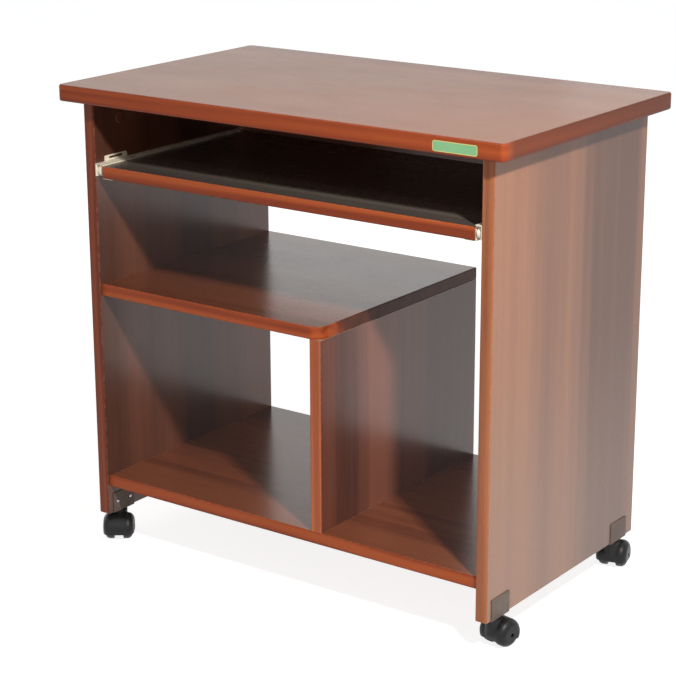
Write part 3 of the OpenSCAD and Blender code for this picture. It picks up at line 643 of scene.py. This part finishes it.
def enamel(node):
    """Cream stoved enamel on steel: a light orange peel, with the arrises
    rubbed through to bare metal in places."""
    finish, tree, shader, place = new_finish(node.replace("_", " ") + " enamel")
    low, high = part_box(node)
    rubbed = use(tree, rubbed_edge, Vector=place, Low=low, High=high, Width=0.0006).outputs["Mask"]
    marks = use(tree, handling, Vector=place).outputs
    clouds = cloud(tree, stretched(tree, place, 22.0, 60.0), 3.0)
    cream = blended(tree, clouds, tint(246, 240, 224), tint(236, 228, 208))
    grubby = reckon(tree, "MULTIPLY", marks["Smear"], 0.12)
    cream = blended(tree, grubby, cream, tint(176, 164, 140))
    base = blended(tree, rubbed, cream, tint(168, 166, 160))
    tree.links.new(base, shader.inputs["Base Color"])
    tree.links.new(rubbed, shader.inputs["Metallic"])
    matt = reckon(tree, "MULTIPLY_ADD", marks["Smear"], 0.12, 0.3)
    tree.links.new(matt, shader.inputs["Roughness"])
    peel = cloud(tree, stretched(tree, place, 700.0, 700.0), 1.0)
    roughen(tree, shader, peel, 0.00006)
    return finish


white = tint(238, 234, 220)
white_nylon = moulded("white roller nylon", white, rough=0.36, fleck=0.0, dust=0.1, through=0.15)
zinc_plate = metal("zinc plated screw", tint(198, 200, 204), rough=0.28)
bright_rivet = metal("bright rivet", tint(214, 212, 206), rough=0.24)

for side in ("left", "right"):
    finished(f"{side}_case_rail", enamel(f"{side}_case_rail"))
    finished(f"{side}_front_roller", white_nylon)
finished("front_rivets", bright_rivet)
finished("case_rail_screws", zinc_plate)

# Keyboard tray. A board with a darker print, edged in front, that rides out on
# its two rails, each screwed up into the tray and ended by its own roller.

smoked_cherry = tint(122, 113, 107), tint(103, 96, 91), tint(81, 75, 72)
wood = printed("tray print", "keyboard_tray", "X", 10.9, smoked_cherry, across=level)
finished("keyboard_tray", wood)
finished("tray_edge", edging("tray_edge", "X", 11.7, edge_cherry))
for side in ("left", "right"):
    finished(f"{side}_tray_rail", enamel(f"{side}_tray_rail"))
    finished(f"{side}_rear_roller", white_nylon)
finished("rear_rivets", bright_rivet)
finished("tray_rail_screws", zinc_plate)

# Casters. A saddle clip of brown plastic is screwed over the lower edge of the
# side panel and holds the stem's sleeve. On the stem turns a black nylon hood
# with an axle through it and one nylon wheel on each side.

grey_brown, black = tint(96, 83, 75), tint(15, 15, 17)
clip_brown = moulded(
    "brown saddle clip", grey_brown, rough=0.45, fleck=0.06, dust=0.1, mirror=0.25
)
hood_black = moulded("black hood nylon", black, rough=0.42, fleck=0.05, dust=0.05, mirror=0.3)
round_stem = (900.0, 900.0, 3200.0)
bright_stem = metal("bright turned stem", tint(206, 206, 208), rough=0.2, turning=round_stem)


def tread_wear(wheel):
    """Black nylon wheel: scuffed and dusty on the tread, which is the part
    furthest from its axle, and clean on the disc."""
    name = wheel.replace("_", " ") + " nylon"
    finish = moulded(name, tint(13, 13, 15), rough=0.4, fleck=0.05, dust=0.04, mirror=0.3)
    tree, shader, place, clean = reopened(finish)
    joint = next(joint for joint in frame["joints"] if joint["child"] == wheel)
    low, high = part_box(wheel)
    from_centre = reckon_vector(tree, "SUBTRACT", place, (low + high) / 2)
    off_axle = reckon_vector(tree, "CROSS_PRODUCT", from_centre, joint["axis"])
    radius = fit(tree, "ShaderNodeVectorMath", {0: off_axle}, operation="LENGTH").outputs["Value"]
    rim = (high.z - low.z) / 2
    tread = ramp(tree, radius, rim * 0.93, rim * 0.99)
    scuffs = ramp(tree, cloud(tree, stretched(tree, place, 420.0, 420.0), 4.0, 0.7), 0.4, 0.7)
    worn = reckon(tree, "MULTIPLY", tread, ramp(tree, scuffs, 0.0, 1.0, 0.25, 0.75))
    tree.links.new(blended(tree, worn, clean, tint(58, 56, 54)), shader.inputs["Base Color"])
    matt = shader.inputs["Roughness"].links[0].from_socket
    tree.links.new(reckon(tree, "MULTIPLY_ADD", worn, 0.35, matt), shader.inputs["Roughness"])
    return finish


for corner in ("front_left", "front_right", "back_left", "back_right"):
    finished(f"{corner}_clip", clip_brown)
    finished(f"{corner}_stem", bright_stem)
    finished(f"{corner}_hood", hood_black)
    finished(f"{corner}_axle", bright_stem)
    for wheel in ("wheel_a", "wheel_b"):
        finished(f"{corner}_{wheel}", tread_wear(f"{corner}_{wheel}"))
finished("clip_screws", zinc_plate)

# Studio. A white floor that fades into a white room, a small warm key lamp high
# on the right in front, a weak wide fill in front, and three large weak lamps
# behind and on the left, so that no side of the desk is left dark.


def looked_at(tree):
    """1 where a surface is seen, mirrored or looked at through glass, else 0."""
    path = fit(tree, "ShaderNodeLightPath").outputs
    seen = reckon(tree, "MAXIMUM", path["Is Camera Ray"], path["Is Glossy Ray"])
    return reckon(tree, "MAXIMUM", seen, path["Is Transmission Ray"])


def white_floor():
    """A wide flat floor. Seen, mirrored or through glass it is white with the
    desk's shadow on it, and it lights the desk as a plain pale floor does."""
    reach = 40.0
    around = ((-1, -1, 0), (1, -1, 0), (1, 1, 0), (-1, 1, 0))
    mesh = bpy.data.meshes.new("floor")
    mesh.from_pydata((reach * np.array(around)).tolist(), [], [(0, 1, 2, 3)])
    floor = placed("floor", mesh)
    paper = bpy.data.materials.new("floor paper")
    tree = emptied(paper)
    matt = fit(tree, "ShaderNodeBsdfDiffuse", {"Color": (0.6, 0.6, 0.6, 1.0)})
    glow = fit(tree, "ShaderNodeEmission", {"Color": (1, 1, 1, 1), "Strength": 0.83})
    both = fit(tree, "ShaderNodeAddShader", {0: matt.outputs[0], 1: glow.outputs[0]})
    plain = fit(tree, "ShaderNodeBsdfDiffuse", {"Color": (0.75, 0.75, 0.75, 1.0)})
    joins = {0: looked_at(tree), 1: plain.outputs[0], 2: both.outputs[0]}
    mix = fit(tree, "ShaderNodeMixShader", joins)
    fit(tree, "ShaderNodeOutputMaterial", {"Surface": mix.outputs[0]})
    mesh.materials.append(paper)


def white_room():
    """The world: white where it is seen, mirrored or looked at through glass,
    and a dimmer, slightly cool light on everything else."""
    world = bpy.data.worlds.new("white room")
    bpy.context.scene.world = world
    tree = emptied(world)
    white = fit(tree, "ShaderNodeBackground", {"Color": (1, 1, 1, 1), "Strength": 1.0})
    dim = fit(tree, "ShaderNodeBackground", {"Color": (0.95, 0.98, 1.0, 1.0), "Strength": 0.28})
    joins = {0: looked_at(tree), 1: dim.outputs[0], 2: white.outputs[0]}
    mix = fit(tree, "ShaderNodeMixShader", joins)
    fit(tree, "ShaderNodeOutputWorld", {"Surface": mix.outputs[0]})


def lamp(name, place, size, power, color):
    """A flat lamp at a place in the room, aimed near the middle of the desk. Its
    size is in metres and its power in watts."""
    light = bpy.data.lights.new(name, "AREA")
    light.shape = "RECTANGLE"
    light.size, light.size_y = size
    light.energy = power
    light.color = color
    holder = placed(name, light)
    holder.location = place
    holder.visible_camera = False
    holder.rotation_mode = "QUATERNION"
    aim = Vector((0.1, 0.0, 0.4))
    holder.rotation_quaternion = (holder.location - aim).to_track_quat("Z", "Y")


white_floor()
white_room()
lamp("key lamp", (1.53, -1.04, 1.79), (0.13, 0.13), 46.0, (1.0, 0.95, 0.88))
lamp("fill lamp", (1.0, -3.0, 1.2), (1.6, 1.6), 6.0, (1.0, 0.96, 0.9))
lamp("back lamp", (-1.6, 2.4, 0.9), (3.2, 1.2), 3.6, (1.0, 0.93, 0.87))
lamp("rear lamp", (-0.2, 3.2, 0.65), (2.4, 1.1), 8.0, (1.0, 0.97, 0.93))
lamp("left lamp", (-3.2, 0.2, 0.6), (2.4, 1.0), 11.0, (1.0, 0.97, 0.93))

camera = placed("camera", bpy.data.cameras.new("camera"))
camera.data.sensor_width = 36.0
camera.data.lens = 106.79
camera.location = (1.7601, -2.4647, 1.2805)
yaw, pitch, roll = np.radians((36.21, -17.068, -0.26))
camera.rotation_mode = "QUATERNION"
turned = Matrix.Rotation(yaw, 3, "Z") @ Matrix.Rotation(math.pi / 2 + pitch, 3, "X")
camera.rotation_quaternion = (turned @ Matrix.Rotation(roll, 3, "Z")).to_quaternion()
camera.data.clip_start, camera.data.clip_end = 0.1, 200.0
bpy.context.scene.camera = camera
bpy.context.scene.view_settings.view_transform = "Standard"
